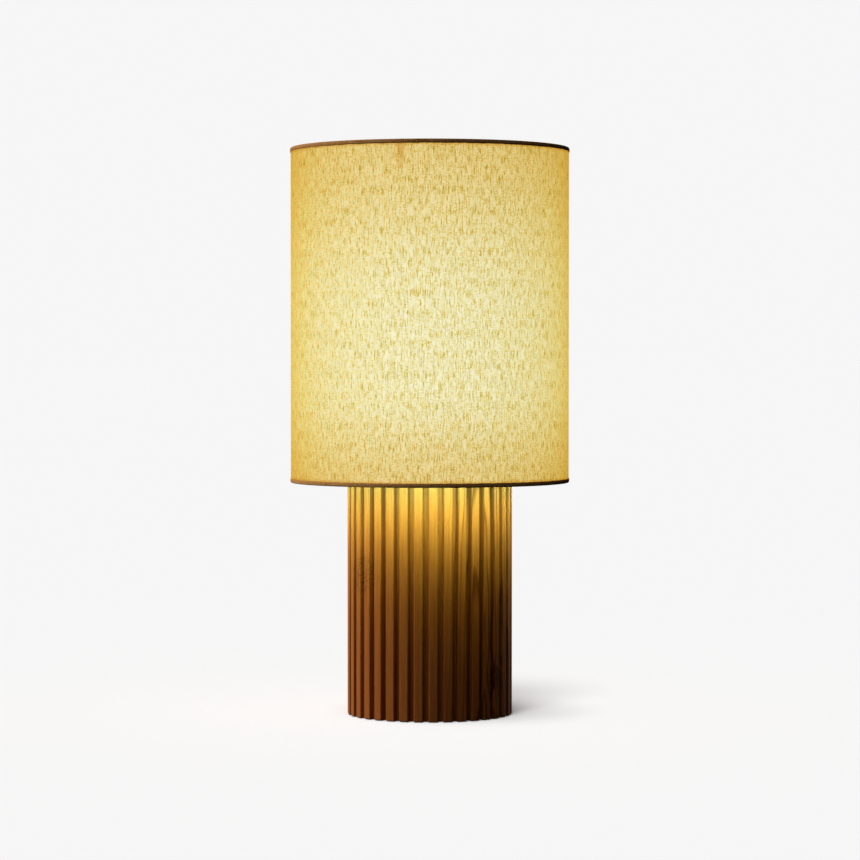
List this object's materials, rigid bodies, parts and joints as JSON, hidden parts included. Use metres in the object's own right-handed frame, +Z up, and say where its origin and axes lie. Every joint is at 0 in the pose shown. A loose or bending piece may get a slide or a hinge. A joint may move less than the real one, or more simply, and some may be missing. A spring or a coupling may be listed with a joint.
{
  "type": "table lamp",
  "caption": "Table lamp with a fluted round wood column and a tall linen drum shade carried on a harp over a lit bulb.",
  "frame": {"origin": "centre of the felt pad's underside, on the surface the lamp stands on", "axes": "+Z up along the column; -Y is the front; the harp lies in the plane of X and Z; the cord inlet is at the back, at +Y"},
  "size_m": [0.2556, 0.2556, 0.517],
  "materials": {
    "walnut": "open grain, satin oil finish",
    "board": "plain board, unfinished",
    "cast_iron": "as cast, painted dark grey",
    "felt": "dense black felt",
    "black_plastic": "moulded, fine texture",
    "zinc_steel": "bright zinc plate",
    "brass": "satin, lacquered",
    "nickel": "nickel plate",
    "fibre": "pressed fibre sleeve",
    "switch_block": "moulded phenolic",
    "white_plastic": "moulded, satin",
    "circuit_board": "white board with lamp chips",
    "solder": "tinned",
    "white_wire": "white enamel",
    "liner": "white film, matt",
    "linen": "slubby oatmeal linen",
    "hem_linen": "the same linen, rolled and several layers thick",
    "lit_globe": "frosted diffuser, lit warm white"
  },
  "bodies": {
    "base": {"fluted_column": "walnut", "column_top_disc": "board", "column_base_disc": "board", "base_disc_screws": "zinc_steel", "ballast_plate": "cast_iron", "felt_pad": "felt", "cord_bushing": "black_plastic", "base_washer": "zinc_steel", "base_nut": "zinc_steel", "threaded_pipe": "zinc_steel", "top_washer": "brass", "top_nut": "brass", "harp_saddle": "brass", "harp": "brass", "socket_cap": "brass", "socket_set_screw": "zinc_steel", "socket_shell": "brass", "socket_insulator": "fibre", "socket_switch_body": "switch_block", "terminal_screws": "brass", "socket_screw_shell": "nickel", "socket_centre_contact": "brass"},
    "switch": {"switch_shaft": "zinc_steel", "switch_knob": "black_plastic"},
    "sleeve_right": {"harp_sleeve_right": "brass"},
    "sleeve_left": {"harp_sleeve_left": "brass"},
    "shade": {"harp_stud": "brass", "shade_spider": "white_wire", "shade_top_ring": "white_wire", "shade_bottom_ring": "white_wire", "shade_liner": "liner", "shade_fabric": "linen", "shade_top_hem": "hem_linen", "shade_bottom_hem": "hem_linen"},
    "finial_core": {"finial_insert": "brass"},
    "finial": {"finial_knob": "walnut"},
    "bulb_tip": {"bulb_contact": "solder"},
    "bulb": {"bulb_insulator": "black_plastic", "bulb_screw_base": "nickel", "bulb_housing": "white_plastic", "bulb_led_board": "circuit_board", "bulb_globe": "lit_globe"}
  },
  "joints": [
    {"name": "switch_turn", "type": "hinge", "parent": "base", "child": "switch", "pos_m": [0, -0.02, 0.2506], "axis": [0, -1, 0], "continuous": true},
    {"name": "sleeve_right_lift", "type": "slide", "parent": "base", "child": "sleeve_right", "axis": [0, 0, 1], "range_m": [0, 0.015]},
    {"name": "sleeve_left_lift", "type": "slide", "parent": "base", "child": "sleeve_left", "axis": [0, 0, 1], "range_m": [0, 0.015]},
    {"name": "shade_turn", "type": "hinge", "parent": "base", "child": "shade", "pos_m": [0, 0, 0.4912], "axis": [0, 0, 1], "continuous": true},
    {"name": "finial_rise", "type": "slide", "parent": "shade", "child": "finial_core", "axis": [0, 0, 1], "range_m": [0, 0.00752]},
    {"name": "finial_turn", "type": "hinge", "parent": "finial_core", "child": "finial", "pos_m": [0, 0, 0.4912], "axis": [0, 0, 1], "range_deg": [0, 2880]},
    {"name": "bulb_rise", "type": "slide", "parent": "base", "child": "bulb_tip", "axis": [0, 0, 1], "range_m": [0, 0.01816]},
    {"name": "bulb_turn", "type": "hinge", "parent": "bulb_tip", "child": "bulb", "pos_m": [0, 0, 0.2622], "axis": [0, 0, 1], "range_deg": [0, 1800]}
  ],
  "couplings": [
    {"joint": "finial_turn", "follows": "finial_rise", "rad_per_m": 6679},
    {"joint": "bulb_rise", "follows": "bulb_turn", "m_per_rad": 0.00057773}
  ]
}
